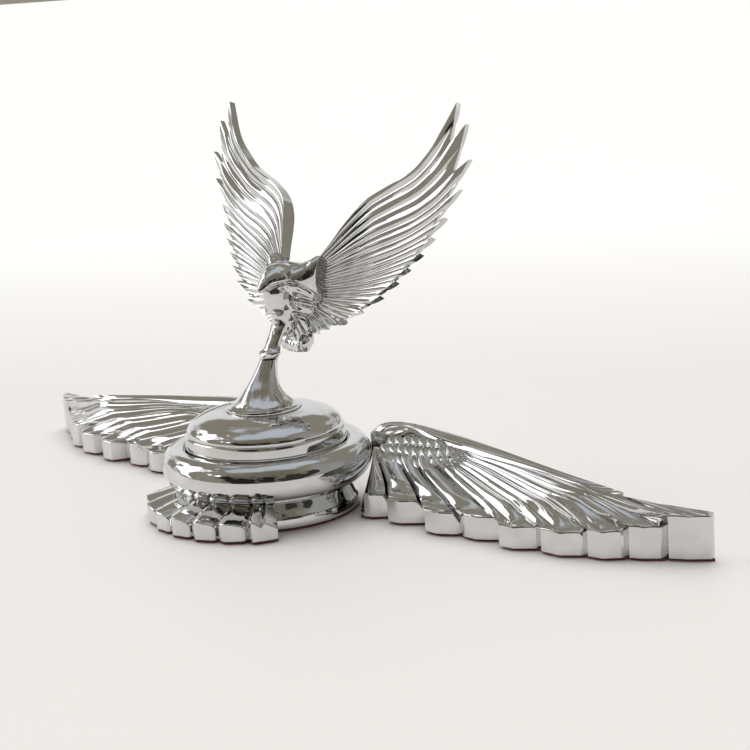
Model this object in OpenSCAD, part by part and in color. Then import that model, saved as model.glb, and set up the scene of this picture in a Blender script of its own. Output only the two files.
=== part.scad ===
// Hood ornament: a chromed eagle on a sprung dome, standing on a winged base.
// The origin is on the stud's axis, in the plane that the base lies on.
// +X runs along the right base wing, -Y is the way the eagle faces, +Z is up.

/* [Base] */
// Tip to tip span of the base wings
span = 256; // [240:2:270]
// Largest radius of the saucer
saucer_r = 29; // [28.6:0.1:29.4]
// Height at which the saucer is widest
saucer_mid_z = 14; // [13.5:0.1:14.5]
// Radius of the skirt under the saucer
skirt_r = 24.8; // [24.5:0.1:25.2]
// Wall thickness of the hollow base
shell_t = 2; // [1.6:0.1:2.2]
// Thickness of the foam tape
foam_t = 0.65; // [0.5:0.05:0.8]
// Thickness of the tape's release liner
liner_t = 0.15; // [0.1:0.05:0.2]

/* [Tail fan] */
// Number of feathers in the tail fan
fan_feathers = 7; // [5:1:9]
// Reach of the fan from the stud's axis
fan_r = 34.5; // [33:0.5:36]
// Angle from the fan's middle to its side
fan_half_angle = 50; // [44:1:54]

/* [Dome] */
// Radius of the dome's rim wall
dome_r = 22.5; // [22.2:0.1:22.6]
// Height of the rim's lower edge
dome_z = 18.4; // [18.3:0.1:18.6]
// Height of the flat seat on top of the dome
seat_z = 28.6; // [28.2:0.1:29]
// Radius of the flat seat
seat_r = 10.9; // [10.7:0.1:11.2]

/* [Spring mount] */
// Radius of the threaded stud
stud_r = 2.45; // [2.2:0.05:2.45]
// Wire diameter of the spring
wire_d = 1.1; // [0.9:0.1:1.2]
// Mean radius of the spring's coils
coil_r = 7.9; // [7.6:0.1:8.2]
// Number of turns of the spring
coil_turns = 4; // [3:1:4]

/* [Eagle] */
// Height of the perch's top, where the claws hold it
perch_z = 41.5; // [41:0.1:42]
// Radius of the feather ribs on the raised wings
rib_r = 1.2; // [1:0.1:1.4]

/* [Hidden] */
$fn = 64;

chrome = "silver";
steel = "lightsteelblue";
tape_top = foam_t + liner_t;
deck_top = dome_z - 0.8;
deck_under = deck_top - shell_t;
ring_t = 0.5;
dome_rim_z = 22.6;
bush_r = 6.9;
bush_bore_r = 5.5;
stud_low_z = 1.7;
stud_high_z = 35;
heel_y = 21.6;
heel_z = 18.75;
heel_r = 0.5;
nut_low_z = 2;
nut_t = 2.7;
nut_r = 4.6;
washer_z = nut_low_z + nut_t + 0.1;
washer_t = 1.1;
spring_low_z = washer_z + washer_t;
tongue_z = 4.2;
tongue_t = 2;
screw_places = [[15.8, 11], [12, 15.5]];
screw_r = 1.35;
thread_gap = 0.05;

// Places on the right base wing's outline: the front corner of each feather's end.
reach = span / 256;
feather_tips = [[33.5, 6], [44, 6.2], [58.5, 4.6], [69.5, 6.6], [82, 6.2], [94, 8], [104.3, 11.6],
                [113, 16], [121, 21.5]];
leading_edge = [[128, 26.4], [121, 25], [105, 20.8], [88, 21.6], [73, 24], [58, 26.8],
                [45, 28.9], [34, 28.4], [28, 24.6], [23, 17], [23, 6]];

// Raised right wing: leading edge from shoulder to tip, then the feather tips from top to root.
wing_edge = [[7.3, 18.8, 67.5], [11.3, 24.9, 75], [17.1, 30, 82.4], [23.5, 32, 86],
             [30.9, 32.7, 89.7], [38.5, 33.9, 97.1], [42.6, 35.6, 104.4]];
wing_tips = [[44.4, 36.6, 108], [48.1, 35.6, 102.6], [50.2, 34.2, 93.6], [47.9, 32.3, 85.9],
             [44, 30.1, 78.5], [41.4, 27.7, 73.4], [38.6, 25.8, 69.2], [35.4, 23.9, 65.4],
             [32.6, 22, 61.9], [28.7, 19.9, 58], [22.8, 17.9, 53.7], [16.6, 17.2, 50.4]];
dowel_places = [[16.6, 63.4], [16.2, 58]];
dowel_r = 0.8;
perch_pin_r = 0.9;
perch_lean = 22;
perch_bend_z = 33.5;
pin_place_r = 6.8;
pin_r = 1;

// ---- Shared shapes ----

// Everything above the plane z = a + b x + c y
module above_plane(a, b, c) {
    translate([0, 0, a])
        rotate([0, acos(1 / norm([b, c, 1])), atan2(-c, -b)])
            translate([-300, -300, 0])
                cube([600, 600, 200]);
}

// A pair of mirrored copies, left and right
module both_sides() {
    children();
    mirror([1, 0, 0])
        children();
}

// ---- Base wings ----

// Outline of the right base wing, drawn in from the feather ends and the back by inset
function wing_outline(inset = 0) = concat(
    [for (tip = feather_tips, corner = [[-3.2, -0.3], [0, 0], [4.6, 2.8]])
        [(tip[0] + corner[0]) * reach - inset / 2, tip[1] + corner[1] + inset]],
    [for (p = leading_edge) [p[0] * reach - inset / 2, p[1] - inset]]);

// Outline of the hollow under the right wing, which stops where the wing gets narrow
function hollow_outline() = concat(
    [for (i = [0 : 6]) [feather_tips[i][0] * reach, feather_tips[i][1] + 3]],
    [for (i = [2 : 7]) [(leading_edge[i][0] - 1) * reach, leading_edge[i][1] - 2.6]]);

// A wedge on the given outline, with the wing's sloping top lowered by drop
module wing_wedge(outline, drop) {
    difference() {
        linear_extrude(30)
            polygon(outline);
        above_plane(-1.44 - drop, 0.017, 0.7708);
        above_plane(22.4 - drop, -0.2121, 0.636);
    }
}

module tongue() {
    difference() {
        translate([9.2, 8.9, tongue_z])
            cube([21.3, 10.3, tongue_t]);
        for (p = screw_places)
            translate([p[0], p[1], 0])
                cylinder(h = 20, r = screw_r + 0.25);
    }
}

module wing_right_shape() {
    difference() {
        wing_wedge(wing_outline(), 0);
        translate([0, -50, tape_top - 50])
            cube([200, 100, 50]);
        translate([0, 0, -1])
            cylinder(h = 60, r = saucer_r + 0.2);
        difference() {
            wing_wedge(hollow_outline(), 2.6);
            cylinder(h = 60, r = saucer_r + 4);
        }
    }
    tongue();
}

module base_wing_right() {
    color(chrome)
        wing_right_shape();
}

module base_wing_left() {
    color(chrome)
        mirror([1, 0, 0])
            wing_right_shape();
}

// ---- Centre moulding ----

saucer_outside = [[skirt_r, tape_top], [skirt_r, 3.9], [skirt_r - 1.6, 7.6], [skirt_r - 0.5, 7.8],
                  [saucer_r - 1.6, 9.8], [saucer_r - 0.5, 11.8], [saucer_r, saucer_mid_z],
                  [saucer_r - 0.5, 16.8], [saucer_r - 1.7, 18.6], [saucer_r - 3.7, 19.4],
                  [dome_r + 0.8, 19.4], [dome_r + 0.4, 19]];

module saucer_shell() {
    rotate_extrude()
        polygon(concat(saucer_outside, [
            [dome_r + 0.4, deck_top], [bush_r + 0.05, deck_top], [bush_r + 0.05, deck_under],
            [dome_r + 2, deck_under], [saucer_r - shell_t, saucer_mid_z],
            [saucer_r - 1.5 - shell_t, 11.5], [skirt_r - 1.8 - shell_t, 8.6],
            [skirt_r - 1.8 - shell_t, 7.5], [skirt_r - shell_t, 4], [skirt_r - shell_t, tape_top]]));
}

// Outline of the tail fan: each feather ends in a narrow and a wide facet
function fan_point(radius, angle) = [radius * sin(angle), -radius * cos(angle)];
fan_step = 2 * fan_half_angle / fan_feathers;
function fan_outline(inset = 0) = concat(
    [fan_point(12, -fan_half_angle)],
    [for (i = [0 : fan_feathers - 1], part = [[0, -2.4], [0.25, 0], [0.85, -0.6]])
        fan_point(fan_r - inset + part[1], -fan_half_angle + (i + part[0]) * fan_step)],
    [fan_point(fan_r - inset - 2.4, fan_half_angle), fan_point(12, fan_half_angle)]);

module tail_fan() {
    difference() {
        intersection() {
            linear_extrude(12)
                polygon(fan_outline());
            rotate_extrude()
                polygon([[skirt_r - 2, tape_top], [fan_r + 1, tape_top], [fan_r + 1, 4.3],
                         [skirt_r - 0.4, 8], [skirt_r - 2, 8]]);
        }
        rotate_extrude()
            polygon([[skirt_r, tape_top - 1], [fan_r - 4, tape_top - 1], [fan_r - 4, 2.6],
                     [skirt_r, 4]]);
    }
}

module screw_bosses() {
    both_sides()
        for (p = screw_places)
            translate([p[0], p[1], tongue_z + tongue_t])
                cylinder(h = deck_under - tongue_z - tongue_t + 0.5, r = 2.8);
}

module base_centre() {
    color(chrome)
        difference() {
            union() {
                saucer_shell();
                tail_fan();
                screw_bosses();
            }
            both_sides() {
                translate([9, 8.7, tongue_z - 0.2])
                    cube([23, 10.7, tongue_t + 0.2]);
                for (p = screw_places)
                    translate([p[0], p[1], 0])
                        cylinder(h = 14, r = screw_r + thread_gap);
            }
        }
}

module wing_screws() {
    color(steel)
        both_sides()
            for (p = screw_places)
                translate([p[0], p[1], 0]) {
                    translate([0, 0, tongue_z - 1.8])
                        cylinder(h = 1.8, r = 2.7);
                    translate([0, 0, tongue_z - 0.01])
                        cylinder(h = 9, r = screw_r);
                }
}

// ---- Tape and liners ----

module centre_pad(height) {
    intersection() {
        union() {
            cylinder(h = height, r = skirt_r - 0.3);
            linear_extrude(height)
                polygon(fan_outline(0.6));
        }
        cylinder(h = height, r = fan_r);
    }
}

module wing_pad(height) {
    difference() {
        linear_extrude(height)
            polygon(wing_outline(0.5));
        translate([0, 0, -1])
            cylinder(h = height + 2, r = saucer_r + 0.4);
    }
}

module foam_tape_centre() {
    color("dimgray")
        translate([0, 0, liner_t])
            centre_pad(foam_t);
}

module foam_tape_right() {
    color("dimgray")
        translate([0, 0, liner_t])
            wing_pad(foam_t);
}

module foam_tape_left() {
    color("dimgray")
        mirror([1, 0, 0])
            translate([0, 0, liner_t])
                wing_pad(foam_t);
}

module liner_centre() {
    color("crimson")
        centre_pad(liner_t);
}

module liner_right() {
    color("crimson")
        wing_pad(liner_t);
}

module liner_left() {
    color("crimson")
        mirror([1, 0, 0])
            wing_pad(liner_t);
}

// ---- Spring mount ----

module guide_bush() {
    color("ivory")
        rotate_extrude()
            polygon([[bush_bore_r, deck_under], [bush_r, deck_under], [bush_r, deck_top],
                     [9, deck_top], [9, deck_top + 0.8], [bush_bore_r, deck_top + 0.8]]);
}

module friction_ring() {
    color("darkslategray")
        translate([0, 0, deck_top])
            difference() {
                cylinder(h = ring_t, r = dome_r - 0.1);
                translate([0, 0, -1])
                    cylinder(h = ring_t + 2, r = dome_r - 3.2);
            }
}

module spring_washer() {
    color(steel)
        difference() {
            union() {
                translate([0, 0, washer_z])
                    cylinder(h = washer_t, r = 9.2);
                translate([0, 0, spring_low_z - 0.01])
                    cylinder(h = 1.2, r = coil_r - wire_d / 2 - 0.3);
            }
            cylinder(h = 20, r = stud_r + 0.15);
        }
}

// Helical spring: a round wire swept along the coil, flattened into its seats at both ends
function coil_point(t) =
    let (rise = (deck_under - spring_low_z - wire_d) * min(max((t - 0.6) / (coil_turns - 1.2), 0), 1))
    [coil_r * cos(360 * t), coil_r * sin(360 * t), spring_low_z + wire_d / 2 + rise];

module spring() {
    sides = 8;
    steps = coil_turns * 20;
    ring_points = [for (i = [0 : steps], j = [0 : sides - 1])
        let (c = coil_point(i * coil_turns / steps), a = 360 * i * coil_turns / steps,
             out = wire_d / 2 * cos(360 * j / sides), up = wire_d / 2 * sin(360 * j / sides))
        [c[0] + out * cos(a), c[1] + out * sin(a), c[2] + up]];
    side_faces = [for (i = [0 : steps - 1], j = [0 : sides - 1])
        let (k = (j + 1) % sides)
        [i * sides + j, (i + 1) * sides + j, (i + 1) * sides + k, i * sides + k]];
    color(steel)
        polyhedron(ring_points, concat(side_faces,
            [[for (j = [0 : sides - 1]) j], [for (j = [0 : sides - 1]) (steps + 1) * sides - 1 - j]]));
}

module stud() {
    color(steel)
        translate([0, 0, stud_low_z])
            cylinder(h = stud_high_z - stud_low_z, r = stud_r);
}

module hex_nut(low_z, height) {
    color(steel)
        translate([0, 0, low_z])
            difference() {
                cylinder(h = height, r = nut_r, $fn = 6);
                translate([0, 0, -1])
                    cylinder(h = height + 2, r = stud_r + thread_gap);
            }
}

module lock_nut() {
    hex_nut(nut_low_z, nut_t);
}

module clamp_nut() {
    hex_nut(seat_z - 1.8 - nut_t, nut_t);
}

// ---- Dome ----

// Quarter curve of the dome from the rim's top to the seat, drawn in by inset
function dome_curve(inset) = [for (a = [0 : 15 : 90])
    [seat_r - 2 + (dome_r - 0.4 - seat_r + 2 - inset) * cos(a),
     dome_rim_z + (seat_z - dome_rim_z - inset) * sin(a)]];

// Half-round bead under the rim at the back, which the dome rocks on
module heel() {
    translate([-3, heel_y, heel_z])
        rotate([0, 90, 0])
            cylinder(h = 6, r = heel_r);
}

module dome_cap() {
    color(chrome)
        difference() {
            union() {
                rotate_extrude()
                    polygon(concat([[dome_r, dome_z]], dome_curve(0), [[0, seat_z], [0, seat_z - 1.8]],
                                   [for (i = [6 : -1 : 0]) dome_curve(1.8)[i]],
                                   [[dome_r - 1.9, dome_z]]));
                heel();
            }
            cylinder(h = 40, r = stud_r + 0.15);
            for (side = [-1, 1])
                translate([side * pin_place_r, 0, 20])
                    cylinder(h = 20, r = pin_r);
        }
}

module locating_pins() {
    color(steel)
        for (side = [-1, 1])
            translate([side * pin_place_r, 0, seat_z - 1.6])
                cylinder(h = 3, r = pin_r - 0.03);
}

// ---- Perch and eagle ----

// The column's slanted axis, from where it bends away from the stud's axis
module leaning() {
    translate([0, 0.3, perch_bend_z])
        rotate([-perch_lean, 0, 0])
            children();
}

module perch() {
    color(chrome)
        difference() {
            union() {
                rotate_extrude()
                    polygon([[0, seat_z], [seat_r - 0.4, seat_z], [seat_r - 0.3, seat_z + 0.8],
                             [9.2, seat_z + 1.6], [7.4, perch_bend_z - 1.6], [5.6, perch_bend_z],
                             [4.6, 36.6], [0, 36.6]]);
                difference() {
                    leaning()
                        translate([0, 0, -2])
                            cylinder(h = 14, r1 = 5.6, r2 = 2.4);
                    translate([-20, -20, perch_z])
                        cube(40);
                }
            }
            translate([0, 0, seat_z - 1])
                cylinder(h = stud_high_z + 1.4 - seat_z, r = stud_r + thread_gap);
            leaning()
                translate([0, 0, 5])
                    cylinder(h = 20, r = perch_pin_r);
            for (side = [-1, 1])
                translate([side * pin_place_r, 0, seat_z - 1])
                    cylinder(h = 2.5, r = pin_r);
        }
}

module perch_pin() {
    color(steel)
        leaning()
            translate([0, 0, 5.2])
                cylinder(h = 7.6, r = perch_pin_r - 0.03);
}

module ball(place, radius, sides = 28) {
    translate(place)
        sphere(r = radius, $fn = sides);
}

module eagle_core() {
    // head and breast
    hull() {
        ball([0, 9.4, 61.8], 4.2);
        ball([0, 11.4, 55.4], 5);
    }
    // back and wing roots
    hull() {
        ball([0, 11.4, 55.4], 5);
        ball([0, 15.8, 59], 6.8);
        ball([0, 16.8, 61.8], 4.8);
        ball([0, 9.4, 61.8], 4.2);
    }
    // belly and legs
    hull() {
        ball([0, 11, 54], 4.8);
        ball([0, 8.3, 49.4], 2.9);
    }
    hull() {
        ball([0, 8.3, 49.4], 2.9);
        ball([0, 4.2, perch_z], 2.8);
    }
    // tail
    hull() {
        ball([0, 13.4, 52.6], 4);
        translate([-4.5, 16.8, 43.4])
            rotate([-28, 0, 0])
                cube([9, 1.6, 2]);
    }
}

module beak() {
    hull() {
        ball([0, 6, 62.2], 2.4);
        ball([0, 2.8, 60.6], 0.7, 12);
    }
}

module bird_body() {
    color(chrome)
        difference() {
            union() {
                eagle_core();
                beak();
            }
            translate([-10, -10, perch_z - 10])
                cube([20, 20, 10]);
            leaning()
                cylinder(h = 13, r = perch_pin_r);
            for (p = dowel_places)
                translate([-10, p[0], p[1]])
                    rotate([0, 90, 0])
                        cylinder(h = 20, r = dowel_r);
        }
}

module wing_dowels() {
    color(steel)
        both_sides()
            for (p = dowel_places)
                translate([4, p[0], p[1]])
                    rotate([0, 90, 0])
                        cylinder(h = 6, r = dowel_r - 0.03);
}

// Root of each feather on the eagle's flank, from the shoulder down
function root_point(i) = [6.3, 17.4 - 0.1 * i, 65 - 0.95 * i];

module feather(i) {
    root = root_point(i);
    tip = wing_tips[i];
    along_edge = wing_edge[max(3, 5 - i)];
    bend = (root + tip) / 2 + (i < 5 ? (5 - i) / 8 * (along_edge - (root + tip) / 2) : [0, 0, 0]);
    hull() {
        ball(root, 1.5, 10);
        ball(bend, rib_r + 0.9, 10);
    }
    hull() {
        ball(bend, rib_r + 0.9, 10);
        ball(tip, rib_r / 2, 10);
    }
}

module raised_wing() {
    difference() {
        union() {
            for (i = [0 : len(wing_tips) - 1])
                feather(i);
            for (i = [0 : len(wing_edge) - 2])
                hull() {
                    ball(wing_edge[i], rib_r, 10);
                    ball(wing_edge[i + 1], rib_r, 10);
                }
            hull() {
                ball([6.6, 17, 63.4], 2.6, 12);
                ball([6.6, 16.4, 57], 2.6, 12);
                ball(wing_edge[1], 1.2, 10);
            }
        }
        eagle_core();
        for (p = dowel_places)
            translate([0, p[0], p[1]])
                rotate([0, 90, 0])
                    cylinder(h = 10.2, r = dowel_r, $fn = 24);
    }
}

module bird_wing_right() {
    color(chrome)
        raised_wing();
}

module bird_wing_left() {
    color(chrome)
        mirror([1, 0, 0])
            raised_wing();
}

base_centre();
base_wing_left();
base_wing_right();
wing_screws();
guide_bush();
friction_ring();
foam_tape_centre();
foam_tape_left();
foam_tape_right();
liner_centre();
liner_left();
liner_right();
spring_washer();
spring();
dome_cap();
perch();
bird_body();
bird_wing_left();
bird_wing_right();
wing_dowels();
perch_pin();
locating_pins();
stud();
clamp_nut();
lock_nut();
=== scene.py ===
import math
import bmesh
import bpy
from mathutils import Matrix, Vector


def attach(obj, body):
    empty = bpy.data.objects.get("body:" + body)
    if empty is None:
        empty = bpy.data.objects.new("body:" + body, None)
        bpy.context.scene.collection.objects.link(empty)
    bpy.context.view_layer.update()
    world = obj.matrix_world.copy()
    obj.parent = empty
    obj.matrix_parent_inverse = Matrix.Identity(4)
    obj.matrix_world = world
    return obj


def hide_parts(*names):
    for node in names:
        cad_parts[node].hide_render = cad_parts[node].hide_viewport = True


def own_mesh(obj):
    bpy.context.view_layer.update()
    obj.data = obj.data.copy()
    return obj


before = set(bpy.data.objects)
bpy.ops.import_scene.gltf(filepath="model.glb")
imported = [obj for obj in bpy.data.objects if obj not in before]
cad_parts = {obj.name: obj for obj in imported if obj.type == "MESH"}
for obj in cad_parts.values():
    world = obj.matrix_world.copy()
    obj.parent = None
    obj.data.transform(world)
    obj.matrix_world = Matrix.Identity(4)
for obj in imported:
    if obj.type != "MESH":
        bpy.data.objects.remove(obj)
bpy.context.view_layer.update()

MM = 0.001
TAPE_TOP = 0.8
SAUCER_R = 29.0
ROUND_SIDES = 160


# ---- Numbers and curves ----

def mix(a, b, k):
    return [u + (v - u) * k for u, v in zip(a, b)]


def ease(k):
    k = min(max(k, 0.0), 1.0)
    return k * k * (3 - 2 * k)


def along(points, k):
    """Point at share k of a smooth curve through the given points."""
    lengths = [math.dist(a, b) for a, b in zip(points, points[1:])]
    left = k * sum(lengths)
    for i, length in enumerate(lengths):
        if left <= length or i == len(lengths) - 1:
            break
        left -= length
    f = min(left / length, 1.0)
    before = points[max(i - 1, 0)]
    after = points[min(i + 2, len(points) - 1)]
    start, end = points[i], points[i + 1]
    out = []
    for a, b, c, d in zip(before, start, end, after):
        value = 2 * b + (c - a) * f + (2 * a - 5 * b + 4 * c - d) * f * f
        out.append((value + (3 * b - a - 3 * c + d) * f ** 3) / 2)
    return out


def lookup(table, key):
    """Straight-line value of a table of (key, value) pairs."""
    if key <= table[0][0]:
        return table[0][1]
    for (k0, v0), (k1, v1) in zip(table, table[1:]):
        if key <= k1:
            return v0 + (v1 - v0) * (key - k0) / (k1 - k0)
    return table[-1][1]


# ---- Meshes ----

def finish_mesh(name, mesh_data, sharp=38):
    bmesh.ops.remove_doubles(mesh_data, verts=mesh_data.verts, dist=2e-6)
    bmesh.ops.recalc_face_normals(mesh_data, faces=mesh_data.faces)
    mesh = bpy.data.meshes.new(name)
    mesh_data.to_mesh(mesh)
    mesh_data.free()
    for face in mesh.polygons:
        face.use_smooth = True
    mesh.set_sharp_from_angle(angle=math.radians(sharp))
    piece = bpy.data.objects.new(name, mesh)
    bpy.context.scene.collection.objects.link(piece)
    return piece


def add_grid(target, rows, wrap=False):
    """Faces between rows of points; wrap joins each row's end to its start."""
    made = [[target.verts.new([c * MM for c in p]) for p in row] for row in rows]
    width = len(rows[0])
    last = width if wrap else width - 1
    for low, high in zip(made, made[1:]):
        for j in range(last):
            k = (j + 1) % width
            target.faces.new((low[j], low[k], high[k], high[j]))
    return made


def add_revolved(target, profile, segments):
    rows = []
    for r, z in profile:
        turn = [2 * math.pi * j / segments for j in range(segments)]
        rows.append([(r * math.cos(a), r * math.sin(a), z) for a in turn])
    return add_grid(target, rows + [rows[0]], True)


def add_tube(target, rings):
    made = add_grid(target, rings, True)
    target.faces.new(made[0][::-1])
    target.faces.new(made[-1])


def ellipse_ring(centre, half_x, half_y, lean=0.0, count=40, ridge=0.0):
    ring = []
    for j in range(count):
        a = 2 * math.pi * j / count
        front = max(0.0, -math.sin(a)) ** 8
        y = half_y * math.sin(a) * (1 + ridge * front)
        x = half_x * math.cos(a)
        ring.append((centre[0] + x, centre[1] + y * math.cos(lean), centre[2] + y * math.sin(lean)))
    return ring


def add_ball(target, centre, radii, turn=0.0, detail=28):
    place = Matrix.Translation(Vector(centre) * MM) @ Matrix.Rotation(math.radians(turn), 4, "X")
    size = Matrix.Diagonal([r * MM for r in radii] + [1])
    bmesh.ops.create_uvsphere(target, u_segments=detail, v_segments=detail // 2 + 2, radius=1.0,
                              matrix=place @ size)


def close_down(target, low_z):
    """Walls from the open border straight down to low_z, and a flat underside."""
    border = [e for e in target.edges if e.is_boundary]
    grown = bmesh.ops.extrude_edge_only(target, edges=border)["geom"]
    for vert in [g for g in grown if isinstance(g, bmesh.types.BMVert)]:
        vert.co.z = low_z * MM
    rim = [e for e in target.edges if e.is_boundary]
    filled = bmesh.ops.contextual_create(target, geom=rim)["faces"]
    bmesh.ops.triangulate(target, faces=filled)


def mirrored(piece, name):
    mesh = piece.data.copy()
    mesh.name = name
    mesh.transform(Matrix.Diagonal((-1, 1, 1, 1)))
    mesh.flip_normals()
    twin = bpy.data.objects.new(name, mesh)
    bpy.context.scene.collection.objects.link(twin)
    return twin


# ---- Centre moulding: saucer, skirt and tail fan ----

SAUCER = [(24.8, 0.8), (24.8, 3.5), (24.65, 3.9), (24.1, 4.7), (23.6, 6.2), (23.2, 7.2), (23.3, 7.55),
          (24.2, 7.8), (25.6, 8.35), (26.8, 9.2), (27.9, 10.4), (28.6, 11.7), (29.0, 13.2), (29.0, 14.4),
          (28.85, 15.6), (28.5, 16.7), (27.95, 17.7), (27.2, 18.5), (26.2, 19.1), (25.1, 19.35),
          (23.6, 19.4), (23.25, 19.3), (22.95, 19.0), (22.9, 17.6), (6.95, 17.6), (6.95, 15.6),
          (24.5, 15.6), (26.9, 13.6), (25.3, 11.0), (21.2, 8.6), (21.1, 7.0), (22.6, 4.2), (22.8, 0.8)]
FAN_COUNT = 7
FAN_HALF = math.radians(50)
FAN_R = 34.4
FAN_ROOT_R = 23.4
# Across a fan feather: share of its width, how far its end stands back, and share of its lift
FAN_FEATHER = [(0.0, -2.5, 0.0), (0.05, -1.3, 0.85), (0.1, -0.9, 0.95), (0.3, 0.0, 1.0),
               (0.34, 0.05, 0.99), (0.6, -0.35, 0.85), (0.86, -0.7, 0.62), (0.94, -1.2, 0.3)]
FAN_WEDGE = [(0.0, -2.5, 0.0), (0.06, -1.3, 0.8), (0.2, 0.0, 1.0), (0.26, 0.0, 0.9),
             (0.48, -0.6, 0.35), (0.6, -0.9, 0.75), (0.85, -1.4, 0.3), (1.0, -2.0, 0.0)]


def fan_place(radius, angle, z):
    return (radius * math.sin(angle), -radius * math.cos(angle), z)


def fan_row(k):
    """One row of points across the fan at share k from the skirt to the tips."""
    row = []
    step = 2 * FAN_HALF / FAN_COUNT
    top = 7.6 - 4.0 * k
    for i in range(FAN_COUNT):
        left = -FAN_HALF + i * step
        wedge = i == FAN_COUNT - 1
        lift = (1.0 + 1.1 * k) * (1.35 if wedge else 1)
        reach = FAN_R + (0.3 if wedge else 0) - FAN_ROOT_R
        places = FAN_WEDGE if wedge else FAN_FEATHER
        for share, back, rise in places:
            radius = FAN_ROOT_R + (reach + back * ease((k - 0.55) / 0.45)) * k
            row.append(fan_place(radius, left + share * step, top + lift * rise))
    return row


def centre_moulding():
    shape = bmesh.new()
    add_revolved(shape, SAUCER, ROUND_SIDES)
    fan = bmesh.new()
    add_grid(fan, [fan_row(k / 14) for k in range(15)])
    close_down(fan, TAPE_TOP)
    piece = finish_mesh("centre_moulding", shape, 32)
    ends = finish_mesh("tail_fan", fan, 24)
    bevel = ends.modifiers.new("edge", "BEVEL")
    bevel.width = 0.22 * MM
    bevel.segments = 2
    bevel.angle_limit = math.radians(32)
    return piece, ends


# ---- Base wings ----

# Creases between neighbouring feathers seen from above, from the coverts out to the notches.
CREASES = [
    [(20.6, 20.7), (24.0, 16.6), (27.3, 10.4), (29.0, 6.0)],
    [(23.4, 20.9), (24.8, 18.1), (31.6, 12.9), (36.8, 8.9)],
    [(29.4, 23.2), (34.2, 17.3), (41.4, 12.9), (48.4, 9.4)],
    [(34.5, 24.6), (40.3, 17.4), (49.4, 12.7), (62.8, 7.6)],
    [(39.5, 24.6), (45.3, 18.7), (57.0, 13.7), (66.1, 10.8), (75.0, 9.6)],
    [(44.0, 24.3), (48.2, 20.4), (65.9, 14.9), (78.1, 11.8), (87.4, 10.2)],
    [(48.0, 23.9), (53.1, 21.4), (71.2, 17.3), (85.7, 14.1), (100.2, 12.0)],
    [(51.5, 23.6), (56.2, 22.1), (74.4, 18.6), (92.2, 15.9), (109.4, 16.4)],
    [(54.0, 23.4), (58.0, 22.6), (81.5, 19.5), (98.2, 18.0), (117.6, 21.0)],
    [(56.0, 23.3), (72.6, 21.2), (89.4, 19.8), (104.4, 20.4), (114.0, 23.2), (127.3, 26.4)]]
# Left, middle and right corner of each feather's end.
ENDS = [((31.1, 5.2), (33.2, 5.7), (35.6, 7.8)), ((39.6, 5.4), (43.4, 5.7), (47.3, 8.4)),
        ((53.6, 4.5), (57.6, 4.3), (61.8, 6.3)), ((65.5, 6.3), (69.3, 6.1), (73.7, 8.5)),
        ((77.6, 5.4), (82.0, 5.5), (86.6, 8.6)), ((89.2, 7.7), (94.8, 7.5), (99.4, 10.4)),
        ((101.2, 10.8), (105.2, 11.2), (108.7, 14.2)), ((110.3, 15.3), (113.6, 16.6), (116.9, 18.9)),
        ((118.6, 19.9), (123.0, 21.9), (127.4, 25.0))]
END_TOPS = [7.0, 7.0, 6.7, 6.9, 6.6, 6.8, 7.7, 8.9, 11.7]
# Height across a feather, as shares of its width and of its lift: a broad one, and one with two ribs.
BROAD = [(0.0, 0.0), (0.05, 0.85), (0.12, 1.0), (0.28, 1.0), (0.4, 0.95), (0.55, 0.86), (0.7, 0.72),
         (0.84, 0.55), (0.95, 0.4)]
DOUBLE = [(0.0, 0.0), (0.05, 0.8), (0.12, 1.05), (0.22, 1.12), (0.32, 1.0), (0.4, 0.7), (0.46, 0.45),
          (0.52, 0.75), (0.62, 0.95), (0.74, 0.9), (0.86, 0.7), (0.95, 0.45)]
# Top of the leading edge, and the rim's lower line on the wing's slope
LEADING = [(16.8, 24.4, 16.4), (18.6, 25.2, 18.9), (22.0, 26.2, 20.2), (27.0, 27.5, 20.6),
           (32.0, 28.4, 20.3), (39.0, 29.3, 19.5), (48.7, 28.1, 19.1), (58.5, 26.6, 18.5),
           (68.3, 24.8, 17.9), (78.2, 23.2, 17.2), (88.1, 22.0, 16.4), (97.9, 21.4, 15.5),
           (104.8, 21.2, 14.7)]
RIM_LOW = [(17.4, 23.4), (20.0, 22.6), (24.0, 23.6), (27.0, 24.8), (30.1, 26.0), (39.0, 25.4),
           (44.8, 24.7), (54.3, 23.5), (72.6, 21.2), (89.4, 19.5), (98.0, 19.6), (104.6, 20.6)]
# The rim's rounding: share from lower line to top, rise, and how far behind the top
RIM_ROUND = [(0.08, 0.5, 0), (0.25, 1.15, 0), (0.5, 1.5, 0), (0.75, 1.4, 0), (1.0, 0.8, 0), (1.0, 0.1, 0.7),
             (1.0, -1.0, 1.1), (1.0, -3.0, 1.2)]
RIM_ROWS = 44
# Lines of covert scales: the line, how many scales, and their length
COVERTS = [([(24.5, 18.6), (30.5, 18.2), (36.5, 17.8), (42.0, 18.6), (47.0, 20.4), (52.5, 21.6)], 10, 4.8),
           ([(24.2, 20.2), (30.0, 20.6), (36.0, 20.6), (42.0, 21.3), (48.5, 22.4)], 9, 4.4),
           ([(26.0, 22.4), (31.5, 23.2), (37.5, 23.4), (44.5, 23.7)], 7, 4.0)]
ROWS = 34


def slope_z(x, y):
    front = -1.44 + 0.017 * x + 0.7708 * y
    outer = 22.4 - 0.2121 * x + 0.636 * y
    return min(front, outer)


def end_place(i, share):
    """Where the feather's end wall stands at share of its width."""
    left, middle, right = ENDS[i]
    if share < 0.42:
        return mix(left, middle, (share - 0.05) / 0.37)
    return mix(middle, right, (share - 0.42) / 0.53)


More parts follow.
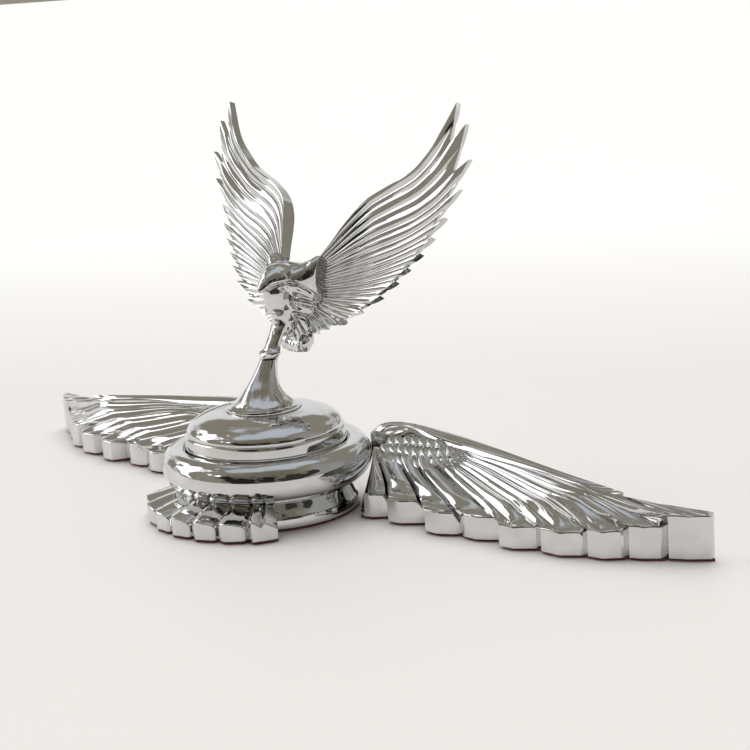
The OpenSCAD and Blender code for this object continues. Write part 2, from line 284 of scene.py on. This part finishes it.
def feather_points(i, k):
    """Cross-section of base feather i at share k of its length, as points."""
    left = along(CREASES[i], k)
    right = along(CREASES[i + 1], k)
    tip = ease((k - 0.7) / 0.3)
    drop = 0.55 * max(0.0, (k - 0.955) / 0.045) ** 2
    rows = []
    for share, rise in (DOUBLE if i >= 4 else BROAD):
        x, y = mix(left, right, share)
        if share == 0:
            rows.append((x, y, slope_z(x, y) - 0.9 * ease(k / 0.4) - 0.5 * tip - drop))
            continue
        x, y = mix((x, y), end_place(i, share), tip ** 2)
        ground = slope_z(x, y)
        lift = 0.15 + 1.35 * ease(k / 0.35)
        ribbed = ground + lift * rise
        level = END_TOPS[i] + 0.25 * (rise - 0.7)
        rows.append((x, y, ribbed + (level - ribbed) * tip - drop))
    return rows


def wing_top_rows():
    rows = []
    for n in range(ROWS + 1):
        k = 1 - (1 - n / ROWS) ** 1.35
        row = []
        for i in range(len(ENDS)):
            row += feather_points(i, k)
        x, y = along(CREASES[-1], k)
        row.append((x, y, slope_z(x, y)))
        rows.append(row)
    return rows


def rim_rows():
    """The rounded leading edge: from its lower line over the top to the back wall."""
    rows = []
    for n in range(RIM_ROWS + 1):
        k = n / RIM_ROWS
        low = along(RIM_LOW, k)
        top = along(LEADING, k)
        start = (low[0], low[1], slope_z(*low) - 0.5)
        width = 0.25 + 0.75 * (1 - k)
        row = [start]
        for share, rise, back in RIM_ROUND:
            point = mix(start, top, share)
            row.append((point[0], point[1] + back * width, point[2] + rise * width))
        rows.append(row)
    return rows


def covert_places():
    for row, (line, count, length) in enumerate(COVERTS):
        for j in range(count):
            k = (j + 0.5 * (row % 2)) / count
            yield along(line, min(k, 1.0)), length, row


def add_covert(target, place, length, row):
    """A small leaf-shaped scale with a ridge, lying on the wing's slope."""
    x, y = place
    heading = Vector((0.80, -0.6)).normalized()
    side = Vector((-heading.y, heading.x))
    rows = []
    for n in range(9):
        k = n / 8
        half = 1.45 * math.sin(math.pi * min(0.12 + 0.86 * k, 0.995)) ** 0.75
        line = []
        for across in (-1, -0.6, -0.15, 0.15, 0.6, 1):
            px = x + heading.x * (k - 0.4) * length + side.x * across * half
            py = y + heading.y * (k - 0.4) * length + side.y * across * half
            rise = (0.35 + 0.75 * k + 0.12 * row) * (1 - 0.7 * across * across) + 0.25
            line.append((px, py, slope_z(px, py) + rise))
        rows.append(line)
    leaf = bmesh.new()
    add_grid(leaf, rows)
    for vert in leaf.verts:
        reach = math.hypot(vert.co.x, vert.co.y) / MM
        if reach < SAUCER_R + 0.15:
            vert.co.x *= (SAUCER_R + 0.15) / reach
            vert.co.y *= (SAUCER_R + 0.15) / reach
    border = [e for e in leaf.edges if e.is_boundary]
    grown = bmesh.ops.extrude_edge_only(leaf, edges=border)["geom"]
    for vert in [g for g in grown if isinstance(g, bmesh.types.BMVert)]:
        vert.co.z -= 1.6 * MM
    rim = [e for e in leaf.edges if e.is_boundary]
    bmesh.ops.contextual_create(leaf, geom=rim)
    mesh = bpy.data.meshes.new("leaf")
    leaf.to_mesh(mesh)
    leaf.free()
    target.from_mesh(mesh)
    bpy.data.meshes.remove(mesh)


def base_wing():
    shape = bmesh.new()
    add_grid(shape, wing_top_rows())
    close_down(shape, TAPE_TOP)
    rim = bmesh.new()
    add_grid(rim, rim_rows())
    close_down(rim, TAPE_TOP)
    mesh = bpy.data.meshes.new("rim")
    rim.to_mesh(mesh)
    rim.free()
    shape.from_mesh(mesh)
    bpy.data.meshes.remove(mesh)
    for place, length, row in covert_places():
        add_covert(shape, place, length, row)
    return finish_mesh("base_wing_feathers_right", shape, 30)


# ---- Dome and perch ----

def dome():
    outer = [(22.5, 18.4), (22.45, 19.4), (22.3, 21.4), (22.15, 22.35), (21.95, 22.65), (21.6, 22.85)]
    inner = []
    for n in range(1, 17):
        a = math.radians(90 * n / 16)
        outer.append((8.9 + 12.75 * math.cos(a), 22.9 + 5.7 * math.sin(a)))
        inner.append((8.9 + 11.3 * math.cos(a), 22.3 + 4.5 * math.sin(a)))
    profile = outer + [(2.6, 28.6), (2.6, 26.8)] + inner[::-1] + [(20.6, 22.0), (20.7, 18.4)]
    shape = bmesh.new()
    add_revolved(shape, profile, ROUND_SIDES)
    return finish_mesh("dome_shell", shape, 22)


PERCH = [(28.6, 0.0, 10.6, 0.0), (29.15, 0.0, 10.55, 0.0), (29.4, 0.0, 10.2, 0.0), (29.75, 0.0, 9.1, 0.0),
         (30.3, 0.0, 8.15, 0.03), (31.1, 0.0, 7.2, 0.06), (32.0, 0.0, 6.4, 0.09), (33.1, 0.05, 5.6, 0.12),
         (34.6, 0.35, 4.75, 0.15), (36.2, 1.0, 4.0, 0.17), (38.0, 1.8, 3.35, 0.17), (39.8, 2.6, 2.85, 0.15),
         (41.45, 3.4, 2.6, 0.12)]


def perch_column():
    shape = bmesh.new()
    rings = []
    for n in range(49):
        z, y, radius, ridge = along(PERCH, n / 48)
        rings.append(ellipse_ring((0, y, z), radius, radius, 0, 64, ridge))
    add_tube(shape, rings)
    return finish_mesh("perch_column", shape, 30)


# ---- Spring ----

COIL_R = 7.9
COIL_TURNS = 4
WIRE_R = 0.54
COIL_LOW_Z = 5.9
DECK_UNDER_Z = 15.6


def coil_ring(t):
    """Round cross-section of the wire after t turns; both ends lie flat in their seats."""
    rise = (DECK_UNDER_Z - COIL_LOW_Z - 2 * WIRE_R) * min(max((t - 0.6) / (COIL_TURNS - 1.2), 0), 1)
    turn = 2 * math.pi * t
    ring = []
    for j in range(12):
        a = 2 * math.pi * j / 12
        radius = COIL_R + WIRE_R * math.cos(a)
        ring.append((radius * math.cos(turn), radius * math.sin(turn),
                     COIL_LOW_Z + WIRE_R + rise + WIRE_R * math.sin(a)))
    return ring


def spring_coil():
    shape = bmesh.new()
    add_tube(shape, [coil_ring(n / 48) for n in range(48 * COIL_TURNS + 1)])
    piece = finish_mesh("spring_coil", shape)
    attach(piece, "spring_seat")
    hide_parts("spring")
    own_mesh(piece)
    return piece


# ---- Eagle's body ----

BALLS = [((0, 9.4, 62.3), (4.1, 5.0, 4.1), 0), ((0, 6.9, 62.5), (2.7, 3.3, 2.6), 18),
         ((0, 8.4, 58.8), (3.6, 4.5, 4.6), -12), ((0, 9.6, 56.8), (4.2, 4.9, 5.0), 0),
         ((0, 11.2, 54.0), (4.4, 4.6, 5.0), 0), ((0, 9.8, 50.6), (3.3, 3.3, 4.2), 0),
         ((0, 4.9, 61.9), (1.6, 2.5, 1.6), 30), ((0, 3.2, 60.9), (0.9, 1.5, 1.0), 52),
         ((0, 2.5, 60.1), (0.6, 0.6, 1.0), 0)]
# Cape over the back: across, then middle of the section, its half-depth and half-height
CAPE = [(-9.0, 16.7, 62.2, 2.6, 5.0), (-8.7, 16.6, 62.2, 3.2, 5.7), (-7.0, 16.2, 61.6, 4.0, 5.2),
        (-4.0, 15.0, 60.9, 5.6, 4.8), (0, 14.0, 60.6, 7.0, 5.2), (4.0, 15.0, 60.9, 5.6, 4.8),
        (7.0, 16.2, 61.6, 4.0, 5.2), (8.7, 16.6, 62.2, 3.2, 5.7), (9.0, 16.7, 62.2, 2.6, 5.0)]
LEG = [(3.45, 41.5, 2.6), (3.9, 42.6, 2.9), (4.3, 43.8, 2.95), (4.9, 44.6, 2.45), (6.2, 46.6, 2.5),
       (7.4, 48.2, 2.6), (8.8, 50.4, 3.0)]
TAIL = [(13.0, 53.5, 3.6, 3.2), (14.2, 50.6, 4.4, 2.8), (15.2, 47.8, 4.9, 2.5), (15.9, 45.0, 5.0, 1.9),
        (16.3, 43.0, 4.4, 1.2)]
BROW = [(2.0, 59.9), (2.7, 60.4), (3.5, 60.8), (5.0, 61.9), (6.5, 62.4), (9.0, 62.4), (10.9, 61.9),
        (12.6, 60.4), (14.5, 58.4), (17.0, 55.6), (22.0, 54.0)]


def body_shapes(target):
    for centre, radii, turn in BALLS:
        add_ball(target, centre, radii, turn)
    for side in (-1, 1):
        add_ball(target, (side * 4.6, 15.0, 55.6), (3.4, 3.2, 4.6), 12)
        add_ball(target, (side * 1.5, 2.6, 43.0), (0.9, 1.7, 0.8), -20, 16)
        add_ball(target, (side * 2.7, 4.2, 42.9), (0.8, 1.3, 0.9), 0, 16)
        add_ball(target, (side * 3.4, 14.0, 43.6), (1.5, 2.0, 2.6), 10, 16)
        add_ball(target, (side * 1.1, 13.6, 43.0), (1.3, 1.8, 2.4), 10, 16)
    rings = []
    for n in range(37):
        x, y, z, depth, height = along(CAPE, n / 36)
        ring = [2 * math.pi * j / 40 for j in range(40)]
        rings.append([(x, y + depth * math.cos(a), z + height * math.sin(a)) for a in ring])
    add_tube(target, rings)
    rings = []
    for n in range(25):
        y, z, radius = along(LEG, n / 24)
        rings.append(ellipse_ring((0, y, z), radius, radius, 0.3 * min(n / 6, 1), 32, 0.1))
    add_tube(target, rings)
    rings = []
    for n in range(17):
        y, z, half, thick = along(TAIL, n / 16)
        rings.append(ellipse_ring((0, y, z), half, thick, 0.25, 32))
    add_tube(target, rings)


def carve(point):
    """Signed relief of the plumage at a point of the body, in mm."""
    x, y, z = [c / MM for c in point]
    brow = lookup(BROW, y)
    cape = ease((z - brow) / 0.35 + 0.5)
    relief = 0.85 * cape if z > 52 else 0.0
    if z > 55 and y < 15:
        relief -= 0.55 * math.exp(-((z - brow + 0.55) / 0.45) ** 2)
    if 50 < z < brow - 1:
        fade = ease((z - 50) / 2) * ease((brow - 1 - z) / 1.5) * ease((y - 9) / 3)
        relief += 0.3 * fade * math.sin((0.45 * y + 0.9 * z) * 2 * math.pi / 2.4)
    if z < 52 and y > 10.5:
        relief += 0.22 * math.cos(x * 2 * math.pi / 2.3) * ease((52 - z) / 4)
    return relief


def eagle_body():
    shape = bmesh.new()
    body_shapes(shape)
    rough = finish_mesh("body_blank", shape)
    remesh = rough.modifiers.new("remesh", "REMESH")
    remesh.mode = "VOXEL"
    remesh.voxel_size = 0.28 * MM
    soften = rough.modifiers.new("soften", "SMOOTH")
    soften.iterations = 34
    soften.factor = 0.5
    bpy.context.view_layer.update()
    solved = rough.evaluated_get(bpy.context.evaluated_depsgraph_get())
    mesh = bpy.data.meshes.new_from_object(solved)
    bpy.data.objects.remove(rough)
    work = bmesh.new()
    work.from_mesh(mesh)
    bpy.data.meshes.remove(mesh)
    work.normal_update()
    moves = [(v, v.normal * carve(v.co) * MM) for v in work.verts]
    for vert, move in moves:
        vert.co += move
        vert.co.z = max(vert.co.z, 41.5 * MM)
    for side in (-1, 1):
        add_ball(work, (side * 3.35, 7.4, 60.3), (0.55, 0.6, 0.55), 0, 20)
    return finish_mesh("eagle_body", work, 50)


# ---- Raised wings ----

EDGE = [(6.6, 18.4, 66.6), (9.4, 22.4, 71.5), (11.3, 25.1, 75.1), (13.7, 27.9, 78.8), (17.1, 30.2, 82.4),
        (23.5, 32.1, 86.0), (30.9, 32.7, 89.7), (35.2, 33.4, 93.4), (38.5, 33.9, 97.1), (40.7, 34.7, 100.8),
        (42.6, 36.0, 104.4), (44.4, 37.2, 108.0)]
TIPS = [(44.4, 37.2, 108.0), (48.1, 36.0, 102.6), (50.2, 34.2, 93.6), (47.9, 32.3, 85.9), (44.0, 30.1, 78.5),
        (41.4, 27.7, 73.4), (38.6, 25.8, 69.2), (35.4, 23.9, 65.4), (32.6, 22.0, 61.9), (28.7, 19.9, 58.0),
        (22.8, 17.9, 53.7), (16.6, 17.4, 50.2), (11.7, 15.4, 48.8), (8.8, 14.2, 47.3), (4.9, 14.4, 45.8)]
ACROSS = 14
ALONG = 56


def feather_root(i):
    if i <= 10:
        return (6.6, 16.8, 66.6 - 1.05 * i)
    return (6.4 - 0.8 * (i - 10), 15.8, 56.1 - 0.95 * (i - 10))


def plain_path(i, k):
    root, tip = feather_root(i), TIPS[i]
    length = math.dist(root, tip)
    bend = mix(root, tip, 0.5)
    bend[1] += 0.10 * length
    bend[2] -= 0.09 * length
    return mix(mix(root, bend, k), mix(bend, tip, k), k)


def feather_path(i, k):
    """Point at share k along feather i's quill; the upper feathers follow the leading edge."""
    point = plain_path(i, k)
    weight = max(0.0, 1 - i / 4.5)
    shift = [weight * (e - p) for e, p in zip(along(EDGE, k), plain_path(0, k))]
    return [p + d for p, d in zip(point, shift)]


def end_share(part):
    """How far the feather's end reaches at share part of its width."""
    if part < 0.82:
        return 1 - 0.13 * part / 0.82
    return 0.87 + 0.13 * (part - 0.82) / 0.18


def arch(offset, half):
    return math.sqrt(max(0.0, 1 - (offset / half) ** 2))


def rib_height(part):
    """Height of the relief across one feather: a rounded quill and a lower vane beside it."""
    quill = max(arch(part - 0.1, 0.34), arch(part - 1.1, 0.34))
    vane = 0.62 * arch(part - 0.6, 0.19)
    return max(quill, vane)


def wing_middle(columns):
    """The wing's middle surface: a row of points for each share of the feathers' length."""
    middle = []
    for n in range(ALONG + 1):
        row = []
        for c in columns:
            i = min(int(c), len(TIPS) - 2)
            part = c - i
            k = n / ALONG * (1 - (1 - end_share(part)) * ease((n / ALONG - 0.3) / 0.7))
            row.append(Vector(mix(feather_path(i, k), feather_path(i + 1, k), part)))
        middle.append(row)
    return middle


def wing_loop(middle, columns, n):
    """One closed loop round the wing: the front's relief out and the back's relief home."""
    share = n / ALONG
    row = middle[n]
    front, back = [], []
    for j, point in enumerate(row):
        ahead = middle[min(n + 1, ALONG)][j] - middle[max(n - 1, 0)][j]
        beside = row[min(j + 1, len(row) - 1)] - row[max(j - 1, 0)]
        normal = ahead.cross(beside).normalized()
        thick = 0.5 - 0.22 * share
        relief = (0.5 + 0.95 * ease(share / 0.25)) * (1 - 0.5 * share) * rib_height(columns[j] % 1)
        edge = 0.5 * math.exp(-((columns[j] / 0.5) ** 2)) * (1 - 0.6 * share)
        front.append(point + normal * (thick + relief + edge))
        back.append(point - normal * (thick + 0.6 * relief + edge))
    return front + back[::-1]


def raised_wing():
    columns = [j / ACROSS for j in range((len(TIPS) - 1) * ACROSS + 1)]
    middle = wing_middle(columns)
    shape = bmesh.new()
    made = add_grid(shape, [wing_loop(middle, columns, n) for n in range(ALONG + 1)], True)
    width = len(columns)
    for ring in (made[0], made[-1]):
        for j in range(width - 1):
            shape.faces.new((ring[j], ring[j + 1], ring[2 * width - 2 - j], ring[2 * width - 1 - j]))
    return finish_mesh("raised_wing_right", shape, 40)


# ---- Materials ----

def texture_nodes(material, scale, detail):
    nodes, links = material.node_tree.nodes, material.node_tree.links
    where = nodes.new("ShaderNodeTexCoord")
    grain = nodes.new("ShaderNodeTexNoise")
    grain.inputs["Scale"].default_value = scale
    grain.inputs["Detail"].default_value = detail
    links.new(where.outputs["Object"], grain.inputs["Vector"])
    return nodes, links, grain


def add_range(nodes, links, source, low, high):
    spread = nodes.new("ShaderNodeMapRange")
    spread.inputs["From Min"].default_value = 0.35
    spread.inputs["From Max"].default_value = 0.65
    spread.inputs["To Min"].default_value = low
    spread.inputs["To Max"].default_value = high
    links.new(source, spread.inputs["Value"])
    return spread.outputs["Result"]


def add_colours(nodes, links, source, dark, light):
    ramp = nodes.new("ShaderNodeValToRGB")
    ramp.color_ramp.elements[0].position = 0.35
    ramp.color_ramp.elements[0].color = dark + (1,)
    ramp.color_ramp.elements[1].position = 0.65
    ramp.color_ramp.elements[1].color = light + (1,)
    links.new(source, ramp.inputs["Fac"])
    return ramp.outputs["Color"]


def grained(name, rough, metal, scale, bump, depth):
    """A material whose roughness and relief follow one procedural grain, with that grain."""
    material = bpy.data.materials.new(name)
    material.use_nodes = True
    shader = material.node_tree.nodes["Principled BSDF"]
    nodes, links, grain = texture_nodes(material, scale, 4)
    links.new(add_range(nodes, links, grain.outputs["Fac"], rough[0], rough[1]), shader.inputs["Roughness"])
    shader.inputs["Metallic"].default_value = metal
    relief = nodes.new("ShaderNodeBump")
    relief.inputs["Strength"].default_value = bump
    relief.inputs["Distance"].default_value = depth
    links.new(grain.outputs["Fac"], relief.inputs["Height"])
    links.new(relief.outputs["Normal"], shader.inputs["Normal"])
    return material, grain


def surface(name, dark, light, rough, metal, scale=300, bump=0.05, depth=0.00005):
    """A grained material whose colour follows the same grain."""
    material, grain = grained(name, rough, metal, scale, bump, depth)
    nodes, links = material.node_tree.nodes, material.node_tree.links
    colour = add_colours(nodes, links, grain.outputs["Fac"], dark, light)
    links.new(colour, nodes["Principled BSDF"].inputs["Base Color"])
    return material


def give(piece, material):
    if not piece.material_slots:
        piece.data.materials.append(material)
    for slot in piece.material_slots:
        slot.material = material


# ---- Room, floor, lights and camera ----

VIEW_AZ = math.radians(44.187)
VIEW_EL = math.radians(12.757)
VIEW_ROLL = math.radians(-3.810)
CAMERA_PLACE = (0.354352, -0.319859, 0.143224)
LENS = 85.53
FLOOR_CELL = 1600
FLOOR_CELLS = 15


def camera_axes():
    ce = math.cos(VIEW_EL)
    back = Vector((math.sin(VIEW_AZ) * ce, -math.cos(VIEW_AZ) * ce, math.sin(VIEW_EL)))
    side = Vector((math.cos(VIEW_AZ), math.sin(VIEW_AZ), 0))
    up = back.cross(side)
    cr, sr = math.cos(VIEW_ROLL), math.sin(VIEW_ROLL)
    return side * cr + up * sr, up * cr - side * sr, back


def add_camera():
    right, up, back = camera_axes()
    data = bpy.data.cameras.new("camera")
    data.sensor_width = 36
    data.lens = LENS
    data.clip_start = 0.01
    data.dof.use_dof = False
    camera = bpy.data.objects.new("camera", data)
    turn = Matrix((right, up, back)).transposed().to_4x4()
    camera.matrix_world = Matrix.Translation(CAMERA_PLACE) @ turn
    bpy.context.scene.collection.objects.link(camera)
    bpy.context.scene.camera = camera


def facing(nodes, links, looked_at, direction, low, high):
    """0 to 1 as the looked-up direction turns from low to high along the given direction."""
    dot = nodes.new("ShaderNodeVectorMath")
    dot.operation = "DOT_PRODUCT"
    dot.inputs[1].default_value = Vector(direction).normalized()
    links.new(looked_at, dot.inputs[0])
    spread = nodes.new("ShaderNodeMapRange")
    spread.interpolation_type = "SMOOTHSTEP"
    spread.inputs["From Min"].default_value = low
    spread.inputs["From Max"].default_value = high
    links.new(dot.outputs["Value"], spread.inputs["Value"])
    return spread.outputs["Result"]


def uneven_direction(nodes, links):
    """The looked-up direction, bent a little by noise so that the room's parts have soft uneven outlines."""
    where = nodes.new("ShaderNodeTexCoord")
    noise = nodes.new("ShaderNodeTexNoise")
    noise.inputs["Scale"].default_value = 2.6
    noise.inputs["Detail"].default_value = 2
    links.new(where.outputs["Generated"], noise.inputs["Vector"])
    bend = nodes.new("ShaderNodeVectorMath")
    bend.operation = "MULTIPLY_ADD"
    bend.inputs[1].default_value = (0.7, 0.7, 0.7)
    bend.inputs[2].default_value = (-0.35, -0.35, -0.35)
    links.new(noise.outputs["Color"], bend.inputs[0])
    total = nodes.new("ShaderNodeVectorMath")
    links.new(where.outputs["Generated"], total.inputs[0])
    links.new(bend.outputs["Vector"], total.inputs[1])
    return total.outputs["Vector"]


def layer(nodes, links, under, colour, share):
    blend = nodes.new("ShaderNodeMix")
    blend.data_type = "RGBA"
    links.new(share, blend.inputs["Factor"])
    links.new(under, blend.inputs["A"])
    blend.inputs["B"].default_value = colour + (1,)
    return blend.outputs["Result"]


# Tint, direction and spread of each part of the room that the chrome mirrors
ROOM = [((0.60, 0.64, 0.70), (0, 0, 1), 0.84, 0.95),
        ((0.36, 0.36, 0.35), (0.9, 0.35, 0.25), 0.78, 0.94),
        ((0.62, 0.62, 0.61), (0.1, 1, 0.04), 0.88, 0.96),
        ((0.85, 0.85, 0.85), (-0.7, 0.7, 0.03), 0.88, 0.97),
        ((0.9, 0.9, 0.9), (-1, 0.1, 0.05), 0.86, 0.96),
        ((0.20, 0.18, 0.14), (0.7, -0.7, 0.25), 0.55, 0.85),
        ((0.02, 0.02, 0.02), (0.45, -0.88, 0.10), 0.88, 0.94),
        ((0.04, 0.04, 0.035), (0.97, -0.2, 0.12), 0.93, 0.97),
        ((2.2, 2.22, 2.28), (-0.70, -0.45, 0.55), 0.88, 0.94)]


def add_room():
    """A plain bright room: window to the left and behind, a dim warm side where the viewer stands."""
    world = bpy.data.worlds.new("room")
    bpy.context.scene.world = world
    world.use_nodes = True
    nodes, links = world.node_tree.nodes, world.node_tree.links
    looked_at = uneven_direction(nodes, links)
    base = nodes.new("ShaderNodeRGB")
    base.outputs[0].default_value = (0.30, 0.28, 0.235, 1)
    colour = base.outputs[0]
    for tint, direction, low, high in ROOM:
        colour = layer(nodes, links, colour, tint, facing(nodes, links, looked_at, direction, low, high))
    links.new(colour, nodes["Background"].inputs["Color"])


def add_daylight():
    data = bpy.data.lights.new("daylight", "SUN")
    data.energy = 2.4
    data.angle = math.radians(75)
    lamp = bpy.data.objects.new("daylight", data)
    lamp.rotation_euler = Vector((0.35, -0.25, -1)).to_track_quat("-Z", "Y").to_euler()
    lamp.visible_glossy = False
    bpy.context.scene.collection.objects.link(lamp)


def pale_table_painted_shade():
    """The floor's material, a little darker and warmer towards the viewer: painted shade standing in for the
    light falling off there.
    """
    material = grained("pale_table_painted_shade", (0.5, 0.6), 0.0, 6, 0.02, 0.0002)[0]
    nodes, links = material.node_tree.nodes, material.node_tree.links
    where = nodes.new("ShaderNodeTexCoord")
    depth = nodes.new("ShaderNodeVectorMath")
    depth.operation = "DOT_PRODUCT"
    depth.inputs[1].default_value = (-0.55, 0.83, 0)
    links.new(where.outputs["Object"], depth.inputs[0])
    spread = nodes.new("ShaderNodeMapRange")
    spread.inputs["From Min"].default_value = -0.25
    spread.inputs["From Max"].default_value = 0.9
    links.new(depth.outputs["Value"], spread.inputs["Value"])
    # painted shade: the pale floor colour darkens and warms towards the viewer
    colour = add_colours(nodes, links, spread.outputs["Result"], (0.76, 0.73, 0.71), (0.93, 0.93, 0.91))
    links.new(colour, nodes["Principled BSDF"].inputs["Base Color"])
    return material


def add_floor():
    steps = range(-FLOOR_CELLS, FLOOR_CELLS + 1)
    rows = [[(FLOOR_CELL * i, FLOOR_CELL * j, 0.0) for i in steps] for j in steps]
    shape = bmesh.new()
    add_grid(shape, rows)
    floor = finish_mesh("floor", shape)
    give(floor, pale_table_painted_shade())


# ---- Putting it together ----

def build_pieces(chrome):
    centre, fan = centre_moulding()
    wing = base_wing()
    other_wing = mirrored(wing, "base_wing_feathers_left")
    shell = dome()
    column = perch_column()
    body = eagle_body()
    raised = raised_wing()
    other_raised = mirrored(raised, "raised_wing_left")
    stands_for = [(centre, "base", "base_centre"), (fan, "base", "base_centre"),
                  (wing, "base", "base_wing_right"), (other_wing, "base", "base_wing_left"),
                  (shell, "mascot", "dome_cap"), (column, "mascot", "perch"), (body, "mascot", "bird_body"),
                  (raised, "mascot", "bird_wing_right"), (other_raised, "mascot", "bird_wing_left")]
    for piece, moves_with, node in stands_for:
        give(piece, chrome)
        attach(piece, moves_with)
        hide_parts(node)


def finish_cad_nodes():
    steel = surface("zinc_plated_steel", (0.50, 0.51, 0.53), (0.66, 0.67, 0.69), (0.25, 0.4), 1.0, 900)
    plastic = surface("bush_plastic", (0.72, 0.70, 0.62), (0.80, 0.78, 0.70), (0.4, 0.5), 0.0, 700)
    rubber = surface("ring_rubber", (0.02, 0.02, 0.02), (0.045, 0.045, 0.045), (0.6, 0.8), 0.0, 1200)
    foam = surface("tape_foam", (0.06, 0.06, 0.062), (0.11, 0.11, 0.115), (0.8, 0.95), 0.0, 2500, 0.4)
    liner = surface("tape_liner", (0.55, 0.012, 0.03), (0.68, 0.03, 0.05), (0.25, 0.4), 0.0, 500)
    give(spring_coil(), steel)
    for node in ("wing_screws", "spring_washer", "wing_dowels", "perch_pin", "locating_pins", "stud",
                 "clamp_nut", "lock_nut"):
        give(bpy.data.objects[node], steel)
    give(bpy.data.objects["guide_bush"], plastic)
    give(bpy.data.objects["friction_ring"], rubber)
    for side in ("centre", "left", "right"):
        give(bpy.data.objects["foam_tape_" + side], foam)
        give(bpy.data.objects["liner_" + side], liner)


add_camera()
build_pieces(surface("chrome", (0.64, 0.64, 0.635), (0.70, 0.70, 0.70), (0.03, 0.07), 1.0, 220, 0.03))
finish_cad_nodes()
add_floor()
add_room()
add_daylight()
bpy.context.scene.view_settings.view_transform = "Standard"
